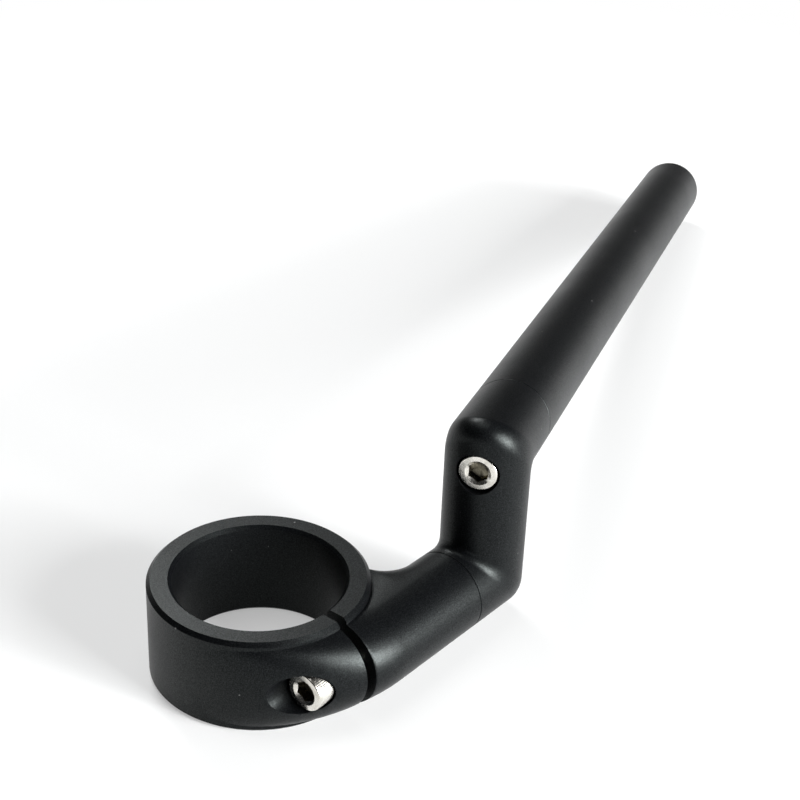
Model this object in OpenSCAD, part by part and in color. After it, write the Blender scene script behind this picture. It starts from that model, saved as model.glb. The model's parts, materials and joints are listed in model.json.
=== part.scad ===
// Clip-on handlebar for one side of a motorcycle, in millimetres.
// A split ring clamps round the fork tube and swells into a short arm. An elbow
// is screwed to the arm's end, and the bar that takes the grip to the elbow.
// The origin is on the fork tube's axis, halfway up the ring and level with the
// arm's axis. +Z is up, +X runs along the arm, and the slit is on the -Y side.

/* [Fork clamp] */
// Diameter of the fork tube that the ring clamps
fork_d = 43; // [41:0.5:54]
// Thickness of the ring's wall
clamp_wall = 6.2; // [5.6:0.1:8]
// Height of the ring along the fork tube
clamp_h = 26.5; // [25.5:0.5:32]
// Chamfer on the ring's outer edges
rim_chamfer = 1; // [0.5:0.1:1.4]
// Chamfer at both mouths of the fork bore
bore_chamfer = 0.9; // [0.4:0.1:2]
// Width of the slit
slit_w = 2.4; // [1.5:0.1:3.5]

/* [Arm] */
// Diameter of the arm, the elbow and the bar
tube_d = 22.2; // [21:0.1:23.5]
// Distance from the middle of the slit to the end of the arm
arm_l = 41; // [36:0.5:60]
// Height of plain ring wall that is left over the swelling at the slit
rim_h = 1.45; // [1.2:0.05:2.5]
// How far inside the ring's outer wall the swelling's sections are centred at the slit
boss_inset = 2.6; // [1.5:0.1:3.5]
// Fillet, seen from above, between the arm and the far side of the ring
web_r = 8; // [3:0.5:9]
// Fullness of the fillet's shoulders, where 2 is an ellipse
web_full = 2.2; // [2:0.1:4]

/* [Elbow] */
// Distance from the arm's end to the middle of the upright
lower_stub = 14; // [12.5:0.5:25]
// Rise from the arm's axis to the bar's axis
rise = 37; // [30:0.5:60]
// Distance from the middle of the upright to the end of the bar, along the bar
upper_stub = 21; // [18:0.5:30]
// Radius on the outside of both bends
corner_r = 5; // [3:0.5:5.5]
// Radius on the inside of both bends
crease_r = 2; // [1:0.25:4]
// Wall that is left round the spigot's socket in the arm
socket_wall = 3.5; // [3.1:0.1:4.5]
// Length of the spigots
spigot_l = 8; // [5:0.5:8.5]

/* [Bar] */
// Length of the bar's tube
bar_l = 264; // [180:1:300]
// Thickness of the tube's wall
bar_wall = 3.5; // [2.9:0.1:4.6]
// How far the bar turns from the arm's direction, towards the ring's side
bar_turn = 21.6; // [0:0.1:35]
// Slope of the bar, down towards its free end
bar_slope = 7.9; // [4:0.1:9]
// Chamfer on the bar's free end
bar_chamfer = 0.8; // [0.3:0.1:1.5]
// Wall that is left round the turned seat in the bar, for the spigot and the plug
seat_wall = 3.1; // [2.6:0.05:3.15]
// Length of the threaded plug in the bar
plug_l = 14; // [10:0.5:25]

/* [Screws] */
// Thread diameter of the three socket head screws
screw_d = 6; // [5:0.5:6.5]
// Diameter of the screw heads
head_d = 10; // [9:0.1:10.2]
// Height of the screw heads
head_h = 6; // [5:0.1:6.5]
// Width across flats of the hexagon sockets
hex_af = 5; // [4:0.5:5.5]
// Depth of the hexagon sockets
hex_depth = 3; // [2:0.1:3.5]
// Distance from the middle of the slit to the seat of the clamp screw's head
clamp_seat = 7.8; // [5:0.1:9]
// Length of the clamp screw under its head
clamp_screw_l = 25; // [18:1:28]
// Length of the arm screw under its head
arm_screw_l = 35; // [33:1:38]
// Length of the bar screw under its head
bar_screw_l = 40; // [37:1:43]
// How far the two heads in the elbow sit below the upright's surface
head_sink = 0.9; // [0.3:0.1:2]
// How far the bar screw enters the upright below the bar's axis
bar_screw_drop = 1.7; // [0.5:0.1:2.5]

/* [Fits] */
// Clearance round a screw head in its counterbore
head_gap = 0.6; // [0.3:0.1:0.7]
// Clearance round a screw's shank in a plain hole
shank_gap = 0.3; // [0.1:0.05:0.5]
// Clearance round a screw in its thread
thread_gap = 0.05; // [0.02:0.01:0.1]
// Clearance round and in front of a spigot in its socket
spigot_gap = 0.1; // [0.05:0.05:0.3]
// Depth of a threaded hole past the end of its screw
thread_spare = 1; // [0.5:0.1:1.5]
// Chamfer on the edges that meet at the two seams
seam_chamfer = 0.25; // [0.1:0.05:0.5]

/* [Hidden] */
black_finish = [0.10, 0.10, 0.11];
steel_finish = [0.78, 0.77, 0.74];
$fn = 96;
section_points = 64;
boss_steps = 16;
neck_steps = 6;
web_steps = 9;
bend_steps = 7;
// A cut runs this far past the face that it leaves
over = 1;

fork_r = fork_d / 2;
ring_r = fork_r + clamp_wall;
half_h = clamp_h / 2;
tube_r = tube_d / 2;
boss_half = half_h - rim_h;

// Seen from above, the swelling's outer edge is an arc that touches the ring on
// the -X side and runs straight into the arm's outer side at x = tube_r
edge_r = ring_r + tube_r;
boss_reach = sqrt(edge_r * edge_r - tube_r * tube_r) - ring_r;
// The swelling's thin end lies in the ring's wall, between these depths
tail_skin = 0.1;
tail_inset = 0.3;
boss_root = 1.5;

// Middle of the fillet between the arm and the ring
web_y = web_r + tube_r - ring_r;
web_x = sqrt(pow(ring_r + web_r, 2) - web_y * web_y);
web_bite = 0.3;
neck_x = sqrt(ring_r * ring_r - pow(ring_r - tube_r, 2));

column_x = arm_l + lower_stub;
bar_dir = [cos(bar_turn) * cos(bar_slope), sin(bar_turn) * cos(bar_slope), -sin(bar_slope)];
bar_across = [-sin(bar_turn), cos(bar_turn), 0];
bar_under = [-cos(bar_turn) * sin(bar_slope), -sin(bar_turn) * sin(bar_slope), -cos(bar_slope)];
low_bend = [column_x, -ring_r, 0];
high_bend = [column_x, -ring_r, rise];
socket_l = spigot_l + spigot_gap;
socket_r = tube_r - socket_wall;
spigot_r = socket_r - spigot_gap;
bar_bore_r = tube_r - bar_wall;
seat_r = tube_r - seat_wall;
seat_l = socket_l + plug_l;

screw_r = screw_d / 2;
head_r = head_d / 2;
pocket_r = head_r + head_gap;
head_seat = tube_r - head_sink - head_h;
bar_screw_z = rise - bar_screw_drop;

function mix(a, b, t) = a + (b - a) * t;
function ease(t) = t * t * (3 - 2 * t);
function sign_pow(v, p) = sign(v) * pow(abs(v), p);
function polar(r, angle) = [r * cos(angle), r * sin(angle)];

// One upright section: half an ellipse from mid to out, and half a fuller one
// from mid to in. The three are points seen from above.
function section(mid, out, in, half, full = 2) = [
    for (i = [0:section_points - 1])
        let (
            c = cos(360 * i / section_points),
            s = sin(360 * i / section_points),
            p = c < 0 ? 2 / full : 1,
            plan = c < 0 ? mid + (in - mid) * pow(-c, p) : mid + (out - mid) * c
        )
        [plan.x, plan.y, half * sign_pow(s, p)]
];

// Distance from the fork's axis to the swelling's edge, at an angle seen from above
function edge_reach(angle) =
    tube_r * cos(angle) + sqrt(pow(edge_r, 2) - pow(tube_r * sin(angle), 2));

// Section on the ring's side of the slit, where t runs from 0 at the slit to 1
// at the thin end
function ring_section(t) =
    let (
        angle = -90 - 90 * t,
        swell = edge_reach(angle) - ring_r,
        inset = mix(tail_inset, boss_inset, swell / boss_reach)
    )
    section(
        polar(ring_r - inset, angle),
        polar(ring_r + swell - tail_skin * t, angle),
        polar(ring_r - inset - boss_root, angle),
        boss_half
    );

// Section between the slit and the place where the arm runs straight
function neck_section(t) =
    let (
        x = tube_r * t,
        mid_y = mix(boss_inset - ring_r, -ring_r, ease(t)),
        out_y = -sqrt(pow(edge_r, 2) - pow(x - tube_r, 2)),
        in_y = mid_y + mix(boss_root, tube_r, ease(t))
    )
    section([x, mid_y], [x, out_y], [x, in_y], mix(boss_half, tube_r, ease(t)));

// Section of the arm beside the ring, whose inner half leans over to the ring
function root_section(t) =
    let (
        x = mix(tube_r, neck_x, t),
        bite = (ring_r - web_bite) / (ring_r + web_r),
        in = mix([tube_r, tube_r - ring_r], [web_x, web_y] * bite, t)
    )
    section([x, -ring_r], [x, -ring_r - tube_r], in, tube_r, mix(2, web_full, t));

// Section of the arm along the fillet
function web_section(t) =
    let (
        x = mix(neck_x, web_x, t),
        start = atan2(-web_y, -web_x),
        in = [web_x, web_y] + polar(web_r, mix(start < 0 ? start + 360 : start, 270, t))
    )
    section([x, -ring_r], [x, -ring_r - tube_r], in, tube_r, mix(web_full, 2, t));

// Round section of the arm at x
function arm_section(x, r) = section([x, -ring_r], [x, -ring_r - r], [x, r - ring_r], r);

boss_rings = concat(
    [for (i = [boss_steps:-1:0]) ring_section(i / boss_steps)],
    [for (i = [1:neck_steps]) neck_section(i / neck_steps)],
    [for (i = [1:web_steps]) root_section(i / web_steps)],
    [for (i = [1:web_steps]) web_section(i / web_steps)],
    [arm_section(arm_l - seam_chamfer, tube_r), arm_section(arm_l, tube_r - seam_chamfer)]
);

// Skin over a list of closed rings that all have the same number of points
module skin(rings) {
    n = len(rings[0]);
    last = len(rings) - 1;
    points = [for (ring = rings) each ring];
    sides = [
        for (j = [0:last - 1], i = [0:n - 1])
            let (a = j * n + i, b = j * n + (i + 1) % n)
            each [[a, b, a + n], [b, b + n, a + n]]
    ];
    ends = [[for (i = [n - 1:-1:0]) i], [for (i = [0:n - 1]) last * n + i]];
    polyhedron(points, concat(sides, ends), convexity = 8);
}

// Round bar from x = from to x = to
module rod(from, to, r) {
    translate([from, 0, 0])
        rotate([0, 90, 0])
            cylinder(h = to - from, r = r);
}

// Places what is drawn along X on the arm's axis
module on_arm() {
    translate([0, -ring_r, 0])
        children();
}

// Places what is drawn along X on the bar's axis, from the middle of the upright
module on_bar() {
    translate(high_bend)
        rotate([0, bar_slope, bar_turn])
            children();
}

// Places what is drawn along X on the bar screw's axis, square to the upright
module on_bar_screw() {
    translate([column_x, -ring_r, bar_screw_z])
        rotate([0, 0, bar_turn])
            children();
}

// Socket head screw along X: the head's seat is at x = 0 and its face at -head_h
module socket_screw(length) {
    edge = head_h / 12;
    tip = screw_d / 8;
    hex_r = hex_af / 2 / cos(30);
    difference() {
        rotate([0, 90, 0])
            rotate_extrude()
                polygon([
                    [0, -head_h],
                    [head_r - edge, -head_h],
                    [head_r, edge - head_h],
                    [head_r, 0],
                    [screw_r, 0],
                    [screw_r, length - tip],
                    [screw_r - tip, length],
                    [0, length]
                ]);
        translate([-head_h - over, 0, 0])
            rotate([0, 90, 0])
                cylinder(h = hex_depth + over, r = hex_r, $fn = 6);
        translate([hex_depth - head_h - over / 10, 0, 0])
            rotate([0, 90, 0])
                cylinder(h = hex_af / 4, r1 = hex_af / 2, r2 = 0);
    }
}

// Ring without its bore
module ring_blank() {
    rotate_extrude()
        polygon([
            [0, -half_h],
            [ring_r - rim_chamfer, -half_h],
            [ring_r, rim_chamfer - half_h],
            [ring_r, half_h - rim_chamfer],
            [ring_r - rim_chamfer, half_h],
            [0, half_h]
        ]);
}

// Space that the fork tube takes, with a chamfer at both mouths
module fork_space() {
    mouth = fork_r + bore_chamfer + over;
    rotate_extrude()
        polygon([
            [0, -half_h - over],
            [mouth, -half_h - over],
            [fork_r, bore_chamfer - half_h],
            [fork_r, half_h - bore_chamfer],
            [mouth, half_h + over],
            [0, half_h + over]
        ]);
}

// Split ring, the swelling that holds the screw, and the arm, machined in one
module clamp() {
    color(black_finish)
        difference() {
            union() {
                ring_blank();
                skin(boss_rings);
            }
            fork_space();
            translate([-slit_w / 2, -edge_r - over, -half_h - over])
                cube([slit_w, edge_r + over, clamp_h + 2 * over]);
            on_arm() {
                rod(-edge_r, -clamp_seat, pocket_r);
                rod(-clamp_seat - over, slit_w / 2, screw_r + shank_gap);
                rod(0, clamp_screw_l - clamp_seat + thread_spare, screw_r + thread_gap);
                rod(arm_l - socket_l, arm_l + over, socket_r);
                rod(
                    column_x + head_seat - arm_screw_l - thread_spare,
                    arm_l,
                    screw_r + thread_gap
                );
            }
        }
}

// Screw across the slit
module clamp_screw() {
    color(steel_finish)
        on_arm()
            translate([-clamp_seat, 0, 0])
                socket_screw(clamp_screw_l);
}

// Corner of one line of the elbow's surface, turned from direction u to v
// through the angle turn, with the radius r
function corner(at, u, v, turn, r) =
    let (
        across = (v - u * cos(turn)) / sin(turn),
        start = at - u * r * tan(turn / 2)
    )
    [
        for (i = [0:bend_steps])
            let (a = turn * i / bend_steps)
            start + across * r * (1 - cos(a)) + u * r * sin(a)
    ];

// Radius of a corner whose line lies inside the bend by the distance d
function bend_r(d, r) = mix(corner_r, crease_r, (d / r + 1) / 2);

// One line along the elbow's surface, from the arm's end to the bar's end.
// The tube's section has the radius r, and the line lies at the angle a on it.
function elbow_line(a, r, start, end) =
    let (
        up = r * sin(a),
        side = [-up, r * cos(a), 0],
        ahead = side.x * cos(bar_turn) + side.y * sin(bar_turn),
        across = side * bar_across,
        lean = tan(45 + bar_slope / 2)
    )
    concat(
        [[start, r * cos(a) - ring_r, up]],
        corner(low_bend + side + [0, 0, up], [1, 0, 0], [0, 0, 1], 90, bend_r(up, r)),
        corner(
            high_bend + side - [0, 0, ahead * lean],
            [0, 0, 1],
            bar_dir,
            90 + bar_slope,
            bend_r(ahead, r)
        ),
        [high_bend + bar_across * across + bar_under * ahead + bar_dir * end]
    );

// Tube of the elbow as rings, with a chamfer at both ends
function elbow_rings() =
    let (
        angles = [for (i = [0:section_points - 1]) -360 * i / section_points],
        slim = tube_r - seam_chamfer,
        tube = [for (a = angles) elbow_line(
            a, tube_r, arm_l + seam_chamfer, upper_stub - seam_chamfer)],
        core = [for (a = angles) elbow_line(a, slim, arm_l, upper_stub)],
        stations = len(tube[0])
    )
    concat(
        [[for (line = core) line[0]]],
        [for (j = [0:stations - 1]) [for (line = tube) line[j]]],
        [[for (line = core) line[stations - 1]]]
    );

// Lower stub, upright and upper stub, machined in one, with a spigot at each end
module elbow() {
    color(black_finish)
        difference() {
            union() {
                skin(elbow_rings());
                on_arm()
                    rod(arm_l - spigot_l, arm_l + over, spigot_r);
                on_bar()
                    rod(upper_stub - over, upper_stub + spigot_l, spigot_r);
            }
            on_arm() {
                rod(column_x + head_seat, column_x + tube_d, pocket_r);
                rod(arm_l - spigot_l - over, column_x + tube_r, screw_r + shank_gap);
            }
            on_bar_screw() {
                rod(-tube_d, -head_seat, pocket_r);
                rod(-tube_r, upper_stub + spigot_l + 2 * over, screw_r + shank_gap);
            }
        }
}

// Hidden screw from the far side of the upright into the arm
module arm_screw() {
    color(steel_finish)
        on_arm()
            translate([column_x + head_seat, 0, 0])
                rotate([0, 0, 180])
                    socket_screw(arm_screw_l);
}

// Tube that takes the grip
module bar() {
    outer = bar_l + upper_stub;
    color(black_finish)
        on_bar()
            rotate([0, 90, 0])
                rotate_extrude()
                    polygon([
                        [seat_r, upper_stub],
                        [tube_r - seam_chamfer, upper_stub],
                        [tube_r, upper_stub + seam_chamfer],
                        [tube_r, outer - bar_chamfer],
                        [tube_r - bar_chamfer, outer],
                        [bar_bore_r + bar_chamfer / 2, outer],
                        [bar_bore_r, outer - bar_chamfer / 2],
                        [bar_bore_r, upper_stub + seat_l],
                        [seat_r, upper_stub + seat_l]
                    ]);
}

// Threaded plug, pressed into the bar behind the spigot
module bar_plug() {
    color(steel_finish)
        difference() {
            on_bar()
                rod(upper_stub + socket_l, upper_stub + seat_l, seat_r);
            on_bar_screw()
                rod(upper_stub, bar_screw_l - head_seat + thread_spare, screw_r + thread_gap);
        }
}

// Screw through the upright into the bar's plug
module bar_screw() {
    color(steel_finish)
        on_bar_screw()
            translate([-head_seat, 0, 0])
                socket_screw(bar_screw_l);
}

clamp();
clamp_screw();
elbow();
arm_screw();
bar();
bar_plug();
bar_screw();
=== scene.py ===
"""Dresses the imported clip-on handlebar: finishes, screws, seams, floor, light and camera.

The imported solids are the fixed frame. Everything here is in metres in the same frame: the origin
is on the fork tube's axis halfway up the clamp, +Z is up and +X runs along the arm.
"""

import json
import logging
import math
from dataclasses import dataclass
from enum import Enum

import bmesh
import bpy
from mathutils import Matrix, Vector


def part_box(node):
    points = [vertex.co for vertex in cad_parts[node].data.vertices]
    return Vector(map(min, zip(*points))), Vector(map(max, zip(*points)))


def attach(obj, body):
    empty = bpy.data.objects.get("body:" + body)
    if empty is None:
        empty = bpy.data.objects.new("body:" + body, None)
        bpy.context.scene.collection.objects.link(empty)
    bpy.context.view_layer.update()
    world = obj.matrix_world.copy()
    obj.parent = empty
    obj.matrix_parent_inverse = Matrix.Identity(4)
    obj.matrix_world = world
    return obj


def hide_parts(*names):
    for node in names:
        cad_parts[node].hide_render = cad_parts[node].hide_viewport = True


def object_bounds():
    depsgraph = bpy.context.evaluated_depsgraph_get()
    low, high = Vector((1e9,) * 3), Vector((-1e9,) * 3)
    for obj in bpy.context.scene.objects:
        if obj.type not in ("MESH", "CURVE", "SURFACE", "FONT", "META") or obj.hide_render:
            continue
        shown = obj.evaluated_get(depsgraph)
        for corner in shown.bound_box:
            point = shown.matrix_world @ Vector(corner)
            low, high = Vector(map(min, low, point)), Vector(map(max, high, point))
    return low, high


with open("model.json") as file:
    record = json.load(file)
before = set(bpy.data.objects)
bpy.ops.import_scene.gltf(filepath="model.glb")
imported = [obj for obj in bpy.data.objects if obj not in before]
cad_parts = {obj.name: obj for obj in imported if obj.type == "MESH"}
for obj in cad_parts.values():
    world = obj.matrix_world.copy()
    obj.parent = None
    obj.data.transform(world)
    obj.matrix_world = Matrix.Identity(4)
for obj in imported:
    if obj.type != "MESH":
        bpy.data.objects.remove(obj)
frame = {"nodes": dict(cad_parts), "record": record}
cad_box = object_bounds()

LOG = logging.getLogger("clip_on")
BODY = "root"
MM = 0.001
TINY = 1e-6
WHITE = (1.0, 1.0, 1.0, 1.0)
UNIT = (0.0, 1.0)
SHADER_NODE = "Principled BSDF"

Colour = tuple[float, float, float]
Span = tuple[float, float]
Socket = bpy.types.NodeSocket


class Slot(Enum):
    """Material slots of the record."""

    BLACK = "black_anodised"
    STEEL = "stainless"


class Join(Enum):
    """Ways in which one node joins two values."""

    LARGER = "MAXIMUM"
    PRODUCT = "MULTIPLY"


@dataclass(frozen=True)
class Grain:
    """Noise: its cells in a metre, its octaves, and the share that each finer octave keeps."""

    cells: float
    octaves: float
    keep: float


@dataclass(frozen=True)
class NodeBench:
    """Short hand for building the node tree of one material or world."""

    owner: bpy.types.Material | bpy.types.World

    @classmethod
    def new_material(cls, name: str) -> "NodeBench":
        """Starts a material.

        Args:
            name: The material's name.

        Returns:
            The bench with the new material on it.
        """
        material = bpy.data.materials.new(name)
        material.use_nodes = True
        return cls(material)

    @property
    def tree(self) -> bpy.types.NodeTree:
        """The owner's node tree."""
        return self.owner.node_tree

    def add(self, kind: str, **values: object) -> bpy.types.Node:
        """Adds a node.

        Args:
            kind: The node's type name, such as ShaderNodeBump.
            values: Properties by name, or input values by a name that starts with in_.

        Returns:
            The new node.
        """
        node = self.tree.nodes.new(kind)
        for name, value in values.items():
            if name.startswith("in_"):
                node.inputs[name[3:]].default_value = value
            else:
                setattr(node, name, value)
        return node

    def link(self, source: Socket, target: Socket) -> None:
        """Joins two sockets.

        Args:
            source: The output that gives the value.
            target: The input that takes it.
        """
        self.tree.links.new(source, target)

    def noise(self, grain: Grain) -> Socket:
        """Adds noise in the object's own metres.

        Args:
            grain: The noise's fineness.

        Returns:
            The socket with the noise's value.
        """
        place = self.add("ShaderNodeTexCoord")
        noise = self.add("ShaderNodeTexNoise", in_Scale=grain.cells, in_Detail=grain.octaves,
                         in_Roughness=grain.keep)
        self.link(place.outputs["Object"], noise.inputs["Vector"])
        return noise.outputs["Fac"]

    def spread(self, source: Socket, start: Span, end: Span = UNIT) -> Socket:
        """Maps a value from one range to another, held at its ends.

        Args:
            source: The socket with the value.
            start: Lowest and highest value that come in.
            end: The values that they turn into.

        Returns:
            The socket with the mapped value.
        """
        node = self.add("ShaderNodeMapRange")
        for socket, value in zip(("From Min", "From Max", "To Min", "To Max"), start + end):
            node.inputs[socket].default_value = value
        self.link(source, node.inputs["Value"])
        return node.outputs["Result"]

    def combine(self, join: Join, first: Socket, second: Socket) -> Socket:
        """Joins two values into one.

        Args:
            join: How they are joined.
            first: The socket with the first value.
            second: The socket with the second value.

        Returns:
            The socket with the result.
        """
        node = self.add("ShaderNodeMath", operation=join.value)
        self.link(first, node.inputs[0])
        self.link(second, node.inputs[1])
        return node.outputs[0]

    def cover(self, share: Socket, under: Socket | Colour, over: Colour) -> Socket:
        """Lays one colour over another.

        Args:
            share: The socket that is 0 where the lower colour shows and 1 where the upper one does.
            under: Linear red, green and blue of the lower colour, or the socket with them.
            over: Linear red, green and blue of the upper colour.

        Returns:
            The socket with the mixed colour.
        """
        mix = self.add("ShaderNodeMix", data_type="RGBA")
        if isinstance(under, tuple):
            mix.inputs["A"].default_value = (*under, 1.0)
        else:
            self.link(under, mix.inputs["A"])
        mix.inputs["B"].default_value = (*over, 1.0)
        self.link(share, mix.inputs["Factor"])
        return mix.outputs["Result"]

    def emboss(self, normal: Socket, height: Socket, strength: float, depth: float) -> None:
        """Gives a surface its fine relief.

        Args:
            normal: The shader's socket for the relief.
            height: The socket with the relief, from 0 to 1.
            strength: Share of the relief that shows.
            depth: The relief's depth, in metres.
        """
        bump = self.add("ShaderNodeBump", in_Strength=strength, in_Distance=depth)
        self.link(height, bump.inputs["Height"])
        self.link(bump.outputs["Normal"], normal)

    def rays(self) -> tuple[Socket, Socket]:
        """Tells the camera's own rays and mirrored ones apart from rays of light.

        Returns:
            The socket that is 1 for camera rays, and the one that is 1 for rays that a glossy
            surface sends back or a clear one lets through.
        """
        kinds = self.add("ShaderNodeLightPath").outputs
        mirrored = self.combine(Join.LARGER, kinds["Is Glossy Ray"], kinds["Is Transmission Ray"])
        return kinds["Is Camera Ray"], mirrored

    def mix_shaders(self, share: Socket, first: Socket, second: Socket) -> Socket:
        """Mixes two shaders.

        Args:
            share: The socket with the second shader's share.
            first: The first shader's socket.
            second: The second shader's socket.

        Returns:
            The socket with the mixed shader.
        """
        mix = self.add("ShaderNodeMixShader")
        for source, target in zip((share, first, second), mix.inputs):
            self.link(source, target)
        return mix.outputs[0]


@dataclass(frozen=True)
class AnodisedBlack:
    """Bead-blasted aluminium, anodised black, with a satin gloss broken up by a fine grain."""

    name: str = "black_anodised_blasted"
    tone: Colour = (0.0015, 0.0017, 0.0021)
    bright_tone: Colour = (0.0062, 0.0068, 0.0078)
    dust_tone: Colour = (0.16, 0.16, 0.16)
    gloss: Span = (0.085, 0.245)
    gloss_tint: Colour = (0.90, 1.0, 0.98)
    roughness: Span = (0.34, 0.40)
    grain: Grain = Grain(3600.0, 2.0, 0.6)
    grain_of_gloss: Span = (0.32, 0.68)
    grain_of_sparkle: Span = (0.52, 0.74)
    cloud: Grain = Grain(38.0, 3.0, 0.5)
    cloud_of_roughness: Span = (0.3, 0.7)
    specks: Grain = Grain(560.0, 1.0, 0.4)
    specks_of_dust: Span = (0.805, 0.835)
    pits: Grain = Grain(2600.0, 4.0, 0.65)
    pit_strength: float = 0.55
    pit_depth: float = 0.026 * MM

    def build(self) -> bpy.types.Material:
        """Builds the material.

        Returns:
            The finished material.
        """
        bench = NodeBench.new_material(self.name)
        shader = bench.tree.nodes[SHADER_NODE].inputs
        shader["Specular Tint"].default_value = (*self.gloss_tint, 1.0)
        grain = bench.noise(self.grain)
        gloss = bench.spread(grain, self.grain_of_gloss, self.gloss)
        bench.link(gloss, shader["Specular IOR Level"])
        sparkle = bench.spread(grain, self.grain_of_sparkle)
        metal = bench.cover(sparkle, self.tone, self.bright_tone)
        dust = bench.spread(bench.noise(self.specks), self.specks_of_dust)
        bench.link(bench.cover(dust, metal, self.dust_tone), shader["Base Color"])
        cloud = bench.noise(self.cloud)
        rough = bench.spread(cloud, self.cloud_of_roughness, self.roughness)
        bench.link(rough, shader["Roughness"])
        pits = bench.noise(self.pits)
        bench.emboss(shader["Normal"], pits, self.pit_strength, self.pit_depth)
        return bench.owner


@dataclass(frozen=True)
class Stainless:
    """Bright stainless steel with fine marks and faint stains."""

    name: str = "stainless_turned"
    tone: Colour = (0.82, 0.80, 0.75)
    dull_tone: Colour = (0.60, 0.58, 0.52)
    roughness: Span = (0.20, 0.30)
    marks: Grain = Grain(1400.0, 4.0, 0.6)
    marks_of_roughness: Span = (0.3, 0.7)
    stain: Grain = Grain(260.0, 3.0, 0.6)
    stain_of_tone: Span = (0.4, 0.7)
    mark_strength: float = 0.4
    mark_depth: float = 0.0025 * MM

    def build(self) -> bpy.types.Material:
        """Builds the material.

        Returns:
            The finished material.
        """
        bench = NodeBench.new_material(self.name)
        shader = bench.tree.nodes[SHADER_NODE].inputs
        shader["Metallic"].default_value = 1.0
        marks = bench.noise(self.marks)
        stain = bench.spread(bench.noise(self.stain), self.stain_of_tone)
        bench.link(bench.cover(stain, self.tone, self.dull_tone), shader["Base Color"])
        rough = bench.spread(marks, self.marks_of_roughness, self.roughness)
        bench.link(rough, shader["Roughness"])
        bench.emboss(shader["Normal"], marks, self.mark_strength, self.mark_depth)
        return bench.owner


@dataclass(frozen=True)
class SocketShadeStainless(Stainless):
    """Stainless steel inside the hexagon sockets: duller as broached, and darker with painted shade
    for the socket's recess.
    """

    name: str = "stainless_socket_painted_shade"
    # darker tones: painted shade for the socket's recess, over the duller broached steel
    tone: Colour = (0.20, 0.185, 0.14)
    dull_tone: Colour = (0.09, 0.082, 0.06)
    roughness: Span = (0.22, 0.38)


@dataclass(frozen=True)
class Palette:
    """The part's finishes, once built."""

    slots: dict[Slot, bpy.types.Material]
    # steel darkened with painted shade, for the hexagon sockets
    socket_shade: bpy.types.Material

    @classmethod
    def build(cls) -> "Palette":
        """Builds every finish.

        Returns:
            The palette.
        """
        slots = {Slot.BLACK: AnodisedBlack().build(), Slot.STEEL: Stainless().build()}
        # the second finish is steel darkened with painted shade, for the sockets
        return cls(slots, SocketShadeStainless().build())


@dataclass(frozen=True)
class CadDress:
    """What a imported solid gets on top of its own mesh, which stays as it is."""

    edge_width: float = 0.12 * MM
    edge_segments: int = 2
    sharp_deg: float = 22.0

    def apply(self, node: str, material: bpy.types.Material) -> bpy.types.Object:
        """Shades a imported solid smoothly, breaks its sharp edges and gives it a finish.

        Args:
            node: The CAD node's name.
            material: The node's finish.

        Returns:
            The node's object.
        """
        piece = frame["nodes"][node]
        piece.modifiers.new("weld", "WELD").merge_threshold = TINY
        for polygon in piece.data.polygons:
            polygon.use_smooth = True
        bevel = piece.modifiers.new("broken_edges", "BEVEL")
        bevel.width = self.edge_width
        bevel.segments = self.edge_segments
        bevel.limit_method = "ANGLE"
        bevel.angle_limit = math.radians(self.sharp_deg)
        bevel.harden_normals = True
        shading = piece.modifiers.new("face_weighted", "WEIGHTED_NORMAL")
        shading.mode = "FACE_AREA_WITH_ANGLE"
        shading.keep_sharp = True
        piece.data.materials.clear()
        piece.data.materials.append(material)
        return piece


def add_object(name: str, data: bpy.types.ID) -> bpy.types.Object:
    """Puts new data into the scene as an object.

    Args:
        name: The object's name.
        data: Its mesh, lamp or camera.

    Returns:
        The new object.
    """
    thing = bpy.data.objects.new(name, data)
    bpy.context.scene.collection.objects.link(thing)
    return thing


def towards(heading_deg: float, rise_deg: float) -> Vector:
    """Direction by its two angles.

    Args:
        heading_deg: Angle round +Z, from +X.
        rise_deg: Angle above the floor.

    Returns:
        The direction, with a length of 1.
    """
    heading = math.radians(heading_deg)
    rise = math.radians(rise_deg)
    level = math.cos(rise)
    return Vector((math.cos(heading) * level, math.sin(heading) * level, math.sin(rise)))


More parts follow.
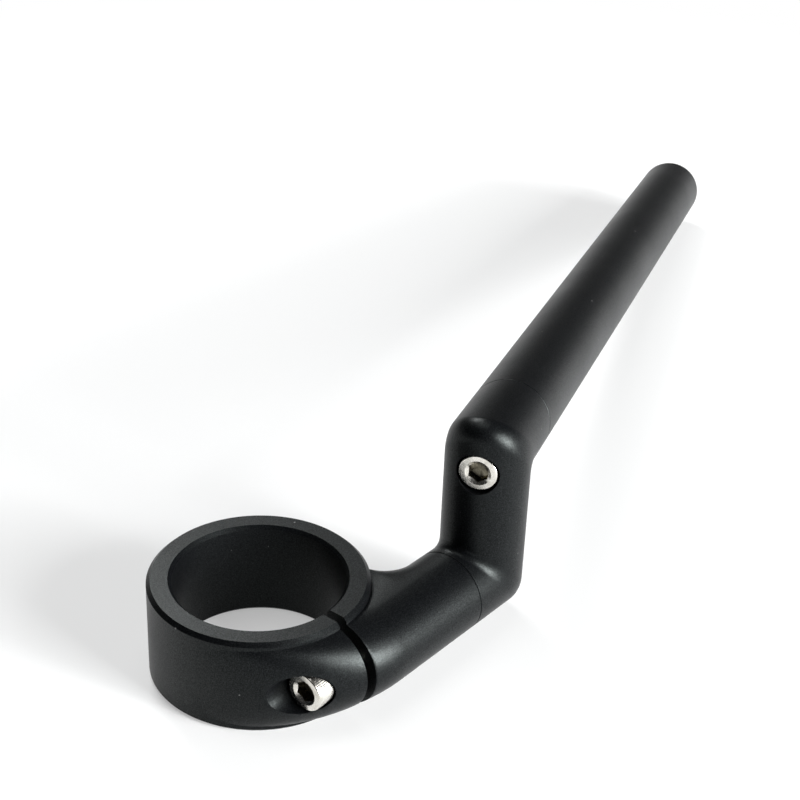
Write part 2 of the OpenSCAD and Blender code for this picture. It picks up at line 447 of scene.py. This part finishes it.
@dataclass
class SocketScrew:
    """Socket head cap screw: knurled head, hexagon socket and threaded shank.

    It is built along +X with its head's seat at the origin, and then placed. Places along it count
    from the seat: the head is at negative ones.
    """

    node: str
    direction: Vector
    head_d: float = 10.0 * MM
    head_h: float = 6.0 * MM
    head_edge: float = 0.5 * MM
    edge_steps: int = 6
    knurls: int = 60
    knurl_depth: float = 0.07 * MM
    knurl_from: float = 0.95 * MM
    knurl_to: float = 0.5 * MM
    foot_h: float = 0.25 * MM
    foot_fall: float = 0.05 * MM
    foot_chamfer: float = 0.3 * MM
    thread_d: float = 6.0 * MM
    pitch: float = 1.0 * MM
    thread_share: float = 0.6
    thread_steps: int = 6
    tip_share: float = 0.86
    hex_af: float = 5.0 * MM
    hex_depth: float = 3.0 * MM
    hex_turn_deg: float = 30.0
    mouth_r: float = 3.4 * MM
    mouth_slope: float = 0.75
    drill_depth: float = 0.5 * MM
    drill_share: float = 0.25
    # material index of the socket's walls and bottom, which take the steel with painted shade
    socket_shade_index: int = 1
    round_points: int = 240
    sharp_deg: float = 34.0

    def sideways(self, axis: int) -> float:
        """How far the screw's disc reaches along an axis of the frame.

        Args:
            axis: The axis by its number.

        Returns:
            The reach of a disc with a radius of 1.
        """
        return math.sqrt(max(0.0, 1 - self.direction[axis] ** 2))

    def length(self) -> float:
        """Measures the screw under its head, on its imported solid.

        Returns:
            The length, in metres.
        """
        low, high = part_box(self.node)
        main = max(range(3), key=lambda axis: abs(self.direction[axis]))
        discs = (self.head_d / 2 + self.thread_d / 2) * self.sideways(main)
        return ((high - low)[main] - discs) / abs(self.direction[main]) - self.head_h

    def seat(self) -> Vector:
        """Finds the middle of the head's seat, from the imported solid's box.

        Returns:
            The place in the frame.
        """
        low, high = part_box(self.node)
        # the head reaches further sideways than the tip, on the axes that the screw leans to
        overhang = (self.head_d / 2 - self.thread_d / 2) / 2
        slack = Vector([
            math.copysign(self.sideways(axis) * overhang, part) if abs(part) > TINY else 0.0
            for axis, part in enumerate(self.direction)
        ])
        total = self.length() + self.head_h
        return (low + high) / 2 + slack + self.direction * (self.head_h - total / 2)

    def profile(self) -> list[tuple[float, float, bool]]:
        """Outlines the head, from the socket's mouth round to the shank's start.

        Returns:
            The place along the screw, the radius and whether it is knurled, for each ring.
        """
        r = self.head_d / 2
        stations = [(-self.head_h, self.mouth_r, False)]
        for step in range(self.edge_steps + 1):
            a = math.pi / 2 * step / self.edge_steps
            fall = self.head_edge * (1 - math.cos(a))
            stations.append((fall - self.head_h, r - self.head_edge * (1 - math.sin(a)), False))
        return stations + [
            (self.knurl_from - self.head_h, r, True),
            (-self.knurl_to, r, True),
            (-self.foot_h, r - self.foot_fall, False),
            (0.0, r - self.foot_chamfer, False),
            (0.0, self.thread_d / 2, False),
        ]

    def angles(self) -> list[float]:
        """Lists the directions of a ring's points.

        Returns:
            The angles round the screw's axis, in radians.
        """
        return [2 * math.pi * i / self.round_points for i in range(self.round_points)]

    def ring(self, mesh: bmesh.types.BMesh, places: list[Span]) -> list[bmesh.types.BMVert]:
        """Adds one ring of points round the screw's axis.

        Args:
            mesh: The mesh to add to.
            places: The place along the screw and the distance from its axis, for each point.

        Returns:
            The ring's points in order.
        """
        return [mesh.verts.new((x, r * math.cos(a), r * math.sin(a)))
                for a, (x, r) in zip(self.angles(), places)]

    def bridge(self, mesh: bmesh.types.BMesh, first: list, second: list) -> None:
        """Joins two rings of equal length with faces.

        Args:
            mesh: The mesh to add to.
            first: The first ring.
            second: The second ring.
        """
        n = len(first)
        for i in range(n):
            mesh.faces.new((first[i], first[(i + 1) % n], second[(i + 1) % n], second[i]))

    def head(self, mesh: bmesh.types.BMesh) -> list[list[bmesh.types.BMVert]]:
        """Adds the head with its knurls.

        Args:
            mesh: The mesh to add to.

        Returns:
            The head's rings, from the socket's mouth to the shank's start.
        """
        waves = [0.5 - 0.5 * math.cos(self.knurls * a) for a in self.angles()]
        rings = []
        for x, radius, knurled in self.profile():
            depth = self.knurl_depth if knurled else 0.0
            rings.append(self.ring(mesh, [(x, radius - depth * wave) for wave in waves]))
        for first, second in zip(rings, rings[1:]):
            self.bridge(mesh, first, second)
        return rings

    def thread(self, mesh: bmesh.types.BMesh, last: list) -> list:
        """Carries the shank on from its start with a helical thread.

        Args:
            mesh: The mesh to add to.
            last: The ring that the shank starts from.

        Returns:
            The last ring, at the screw's tip.
        """
        length = self.length()
        depth = self.thread_share * self.pitch
        count = int(length / self.pitch * self.thread_steps)
        for j in range(1, count + 1):
            x = length * j / count
            fade = min(1.0, j / self.thread_steps, (count - j) / self.thread_steps)
            share = 1.0 if j < count else self.tip_share
            places = []
            for i in range(self.round_points):
                phase = (x / self.pitch - i / self.round_points) % 1.0
                crest = abs(2 * phase - 1)
                places.append((x, (self.thread_d / 2 - depth * fade * (1 - crest)) * share))
            ring = self.ring(mesh, places)
            self.bridge(mesh, last, ring)
            last = ring
        return last

    def hexagon_radius(self, angle: float) -> float:
        """Measures from the screw's axis to the socket's wall.

        Args:
            angle: Direction round the axis, in radians.

        Returns:
            The distance, in metres.
        """
        within = (angle + math.radians(self.hex_turn_deg)) % (math.pi / 3) - math.pi / 6
        return self.hex_af / 2 / math.cos(within)

    def socket(self, mesh: bmesh.types.BMesh, mouth: list) -> None:
        """Sinks the hexagon socket inside a conical mouth, and gives its walls and bottom the steel
        darkened with painted shade.

        Args:
            mesh: The mesh to add to.
            mouth: The ring round the socket's mouth.
        """
        walls = [self.hexagon_radius(a) for a in self.angles()]
        edge = [(self.mouth_slope * (self.mouth_r - r), r) for r in walls]
        foot = [(self.hex_depth, r) for r in walls]
        drill = [(self.hex_depth + self.drill_depth, self.drill_share * r) for r in walls]
        last = mouth
        shaded_from = 0
        for level in (edge, foot, drill):
            ring = self.ring(mesh, [(sunk - self.head_h, r) for sunk, r in level])
            self.bridge(mesh, ring, last)
            last = ring
            if level is edge:
                # faces from here on lie inside the socket and take the steel with painted shade
                shaded_from = len(mesh.faces)
        mesh.faces.new(last)
        mesh.faces.ensure_lookup_table()
        for face in mesh.faces[shaded_from:]:
            face.material_index = self.socket_shade_index

    def build(self, palette: Palette) -> bpy.types.Object:
        """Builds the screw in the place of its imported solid.

        Args:
            palette: The part's finishes.

        Returns:
            The finished object.
        """
        mesh = bmesh.new()
        rings = self.head(mesh)
        self.socket(mesh, rings[0])
        mesh.faces.new(self.thread(mesh, rings[-1]))
        bmesh.ops.recalc_face_normals(mesh, faces=mesh.faces)
        data = bpy.data.meshes.new(self.node + "_detailed")
        mesh.to_mesh(data)
        mesh.free()
        turn = Vector((1, 0, 0)).rotation_difference(self.direction).to_matrix().to_4x4()
        data.transform(Matrix.Translation(self.seat()) @ turn)
        piece = add_object(self.node + "_detailed", data)
        for polygon in data.polygons:
            polygon.use_smooth = True
        data.set_sharp_from_angle(angle=math.radians(self.sharp_deg))
        piece.modifiers.new("face_weighted", "WEIGHTED_NORMAL").keep_sharp = True
        data.materials.append(palette.slots[Slot.STEEL])
        # second material: steel darkened with painted shade, for the socket
        data.materials.append(palette.socket_shade)
        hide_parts(self.node)
        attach(piece, BODY)
        return piece


@dataclass
class ForkClamp:
    """The split ring with its arm, and the screw across the slit."""

    dressing: CadDress = CadDress(edge_width=0.22 * MM)
    screw_direction: Vector = Vector((1, 0, 0))

    def dress(self, palette: Palette) -> list[bpy.types.Object]:
        """Gives the clamp its finish and its screw.

        Args:
            palette: The part's finishes.

        Returns:
            The finished pieces.
        """
        return [
            self.dressing.apply("clamp", palette.slots[Slot.BLACK]),
            SocketScrew("clamp_screw", self.screw_direction).build(palette),
        ]


@dataclass
class Elbow:
    """The upright elbow and its two screws."""

    bar_heading: float
    dressing: CadDress = CadDress()
    arm_screw_direction: Vector = Vector((-1, 0, 0))

    def dress(self, palette: Palette) -> list[bpy.types.Object]:
        """Gives the elbow its finish and its screws.

        Args:
            palette: The part's finishes.

        Returns:
            The finished pieces.
        """
        heading = Vector((math.cos(self.bar_heading), math.sin(self.bar_heading), 0))
        return [
            self.dressing.apply("elbow", palette.slots[Slot.BLACK]),
            SocketScrew("arm_screw", self.arm_screw_direction).build(palette),
            SocketScrew("bar_screw", heading).build(palette),
        ]


@dataclass
class Bar:
    """The tube that takes the grip, with the threaded plug inside it."""

    dressing: CadDress = CadDress()

    def dress(self, palette: Palette) -> list[bpy.types.Object]:
        """Gives the bar and its plug their finishes.

        Args:
            palette: The part's finishes.

        Returns:
            The finished pieces.
        """
        return [
            self.dressing.apply("bar", palette.slots[Slot.BLACK]),
            self.dressing.apply("bar_plug", palette.slots[Slot.STEEL]),
        ]


@dataclass(frozen=True)
class SoftBox:
    """Square lamp that faces the part.

    Its turn is the angle to the right, seen from the camera, from straight behind the part, and
    its rise the angle above the floor. Its level is the light that a white card facing it gives
    back, where 1 is white.
    """

    name: str
    turn_deg: float
    rise_deg: float
    side: float
    level: float
    distance: float = 2.4
    target: Vector = Vector((0.08, 0.01, 0.0))

    def hang(self, camera_heading_deg: float) -> bpy.types.Object:
        """Hangs the lamp.

        Args:
            camera_heading_deg: Angle round +Z that the camera looks along.

        Returns:
            The lamp's object.
        """
        data = bpy.data.lights.new(self.name, "AREA")
        data.shape = "SQUARE"
        data.size = self.side
        data.energy = math.pi ** 2 * self.level * self.distance ** 2
        away = towards(camera_heading_deg - self.turn_deg, self.rise_deg)
        lamp = add_object(self.name, data)
        lamp.location = self.target + away * self.distance
        lamp.rotation_mode = "QUATERNION"
        lamp.rotation_quaternion = (-away).to_track_quat("-Z", "Y")
        return lamp


@dataclass
class Studio:
    """White table, soft light and the camera."""

    floor_z: float
    floor_half: float = 6.0
    floor_glow: float = 0.4
    glow_middle: Vector = Vector((0.12, 0.03, 0.0))
    glow_fade: Span = (0.17, 0.48)
    sky_level: float = 0.03
    backdrop_fade: Span = (0.0, 0.04)
    paint: Colour = (0.93, 0.94, 0.94)
    lamps: tuple[SoftBox, ...] = (
        SoftBox("key", 113, 9, 0.85, 2.4),
        SoftBox("key_high", 126, 24, 0.8, 1.1),
        SoftBox("back", -22, 44, 0.7, 0.5),
        SoftBox("top", -60, 80, 1.4, 0.25),
    )
    camera_place: Vector = Vector((-0.250931, -0.240686, 0.261880))
    camera_heading_deg: float = 38.37
    camera_dip_deg: float = 29.676
    camera_roll_deg: float = 2.387
    focal_pixels: float = 1719.8
    picture_pixels: float = 800.0
    sensor: float = 36.0
    nearest: float = 0.01

    def table_finish(self) -> bpy.types.Material:
        """Builds the table's paint: white to the camera and in reflections, with soft shadows.

        Returns:
            The finished material.
        """
        bench = NodeBench.new_material("white_table")
        nodes = bench.tree.nodes
        nodes.remove(nodes[SHADER_NODE])
        paint = bench.add("ShaderNodeBsdfDiffuse", in_Color=(*self.paint, 1.0))
        glow = bench.add("ShaderNodeEmission", in_Color=WHITE, in_Strength=1.0)
        place = bench.add("ShaderNodeTexCoord")
        reach = bench.add("ShaderNodeVectorMath", operation="DISTANCE")
        reach.inputs[1].default_value = (self.glow_middle.x, self.glow_middle.y, self.floor_z)
        bench.link(place.outputs["Object"], reach.inputs[0])
        share = bench.spread(reach.outputs["Value"], self.glow_fade, (self.floor_glow, 1.0))
        seen, mirrored = bench.rays()
        shown = bench.combine(Join.LARGER, seen, mirrored)
        glowing = bench.combine(Join.PRODUCT, shown, share)
        surface = bench.mix_shaders(glowing, paint.outputs[0], glow.outputs[0])
        bench.link(surface, nodes["Material Output"].inputs["Surface"])
        return bench.owner

    def floor(self) -> bpy.types.Object:
        """Lays the table.

        Returns:
            The table's object.
        """
        mesh = bmesh.new()
        bmesh.ops.create_grid(mesh, x_segments=2, y_segments=2, size=self.floor_half)
        data = bpy.data.meshes.new("table")
        mesh.to_mesh(data)
        mesh.free()
        data.transform(Matrix.Translation((0, 0, self.floor_z)))
        data.materials.append(self.table_finish())
        table = add_object("table", data)
        return table

    def sky(self) -> bpy.types.World:
        """Sets the world: white to the camera, a low white backdrop in reflections, else soft grey.

        Returns:
            The world.
        """
        world = bpy.data.worlds.new("studio")
        bpy.context.scene.world = world
        world.use_nodes = True
        bench = NodeBench(world)
        light = bench.tree.nodes["Background"]
        light.inputs["Color"].default_value = WHITE
        light.inputs["Strength"].default_value = self.sky_level
        white = bench.add("ShaderNodeBackground", in_Color=WHITE, in_Strength=1.0)
        place = bench.add("ShaderNodeTexCoord")
        height = bench.add("ShaderNodeSeparateXYZ")
        bench.link(place.outputs["Generated"], height.inputs[0])
        backdrop = bench.spread(height.outputs["Z"], self.backdrop_fade, (1.0, 0.0))
        seen, mirrored = bench.rays()
        reflected = bench.combine(Join.PRODUCT, mirrored, backdrop)
        shown = bench.combine(Join.LARGER, seen, reflected)
        surface = bench.mix_shaders(shown, light.outputs[0], white.outputs[0])
        bench.link(surface, bench.tree.nodes["World Output"].inputs["Surface"])
        return world

    def camera(self) -> bpy.types.Object:
        """Places the camera where the photo was taken from.

        Returns:
            The camera's object.
        """
        data = bpy.data.cameras.new("camera")
        data.sensor_width = self.sensor
        data.lens = self.focal_pixels * self.sensor / self.picture_pixels
        data.clip_start = self.nearest
        ahead = towards(self.camera_heading_deg, -self.camera_dip_deg)
        level = ahead.to_track_quat("-Z", "Y").to_matrix().to_4x4()
        roll = Matrix.Rotation(math.radians(self.camera_roll_deg), 4, "Z")
        camera = add_object("camera", data)
        camera.matrix_world = Matrix.Translation(self.camera_place) @ level @ roll
        bpy.context.scene.camera = camera
        return camera

    def build(self) -> None:
        """Builds the whole studio."""
        self.floor()
        self.sky()
        for lamp in self.lamps:
            lamp.hang(self.camera_heading_deg)
        self.camera()
        bpy.context.scene.view_settings.view_transform = "Standard"


def bar_heading() -> float:
    """Reads how far the bar turns from the arm, seen from above, off the record's grip mount.

    Returns:
        The angle, in radians.
    """
    mounts = {mount["name"]: mount for mount in frame["record"]["mounts"]}
    axis = mounts["grip_seat"]["axis"]
    return math.atan2(axis[1], axis[0])


def write_sizes() -> None:
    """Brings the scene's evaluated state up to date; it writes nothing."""
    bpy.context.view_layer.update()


def main() -> None:
    """Builds the finishes and the pieces in order, and reports each piece."""
    logging.basicConfig(level=logging.INFO, format="%(name)s: %(message)s")
    palette = Palette.build()
    Studio(floor_z=cad_box[0].z).build()
    for assembly in (ForkClamp(), Elbow(bar_heading()), Bar()):
        for piece in assembly.dress(palette):
            LOG.info("%s: %s", type(assembly).__name__, piece.name)
    write_sizes()


if __name__ == "__main__":
    main()
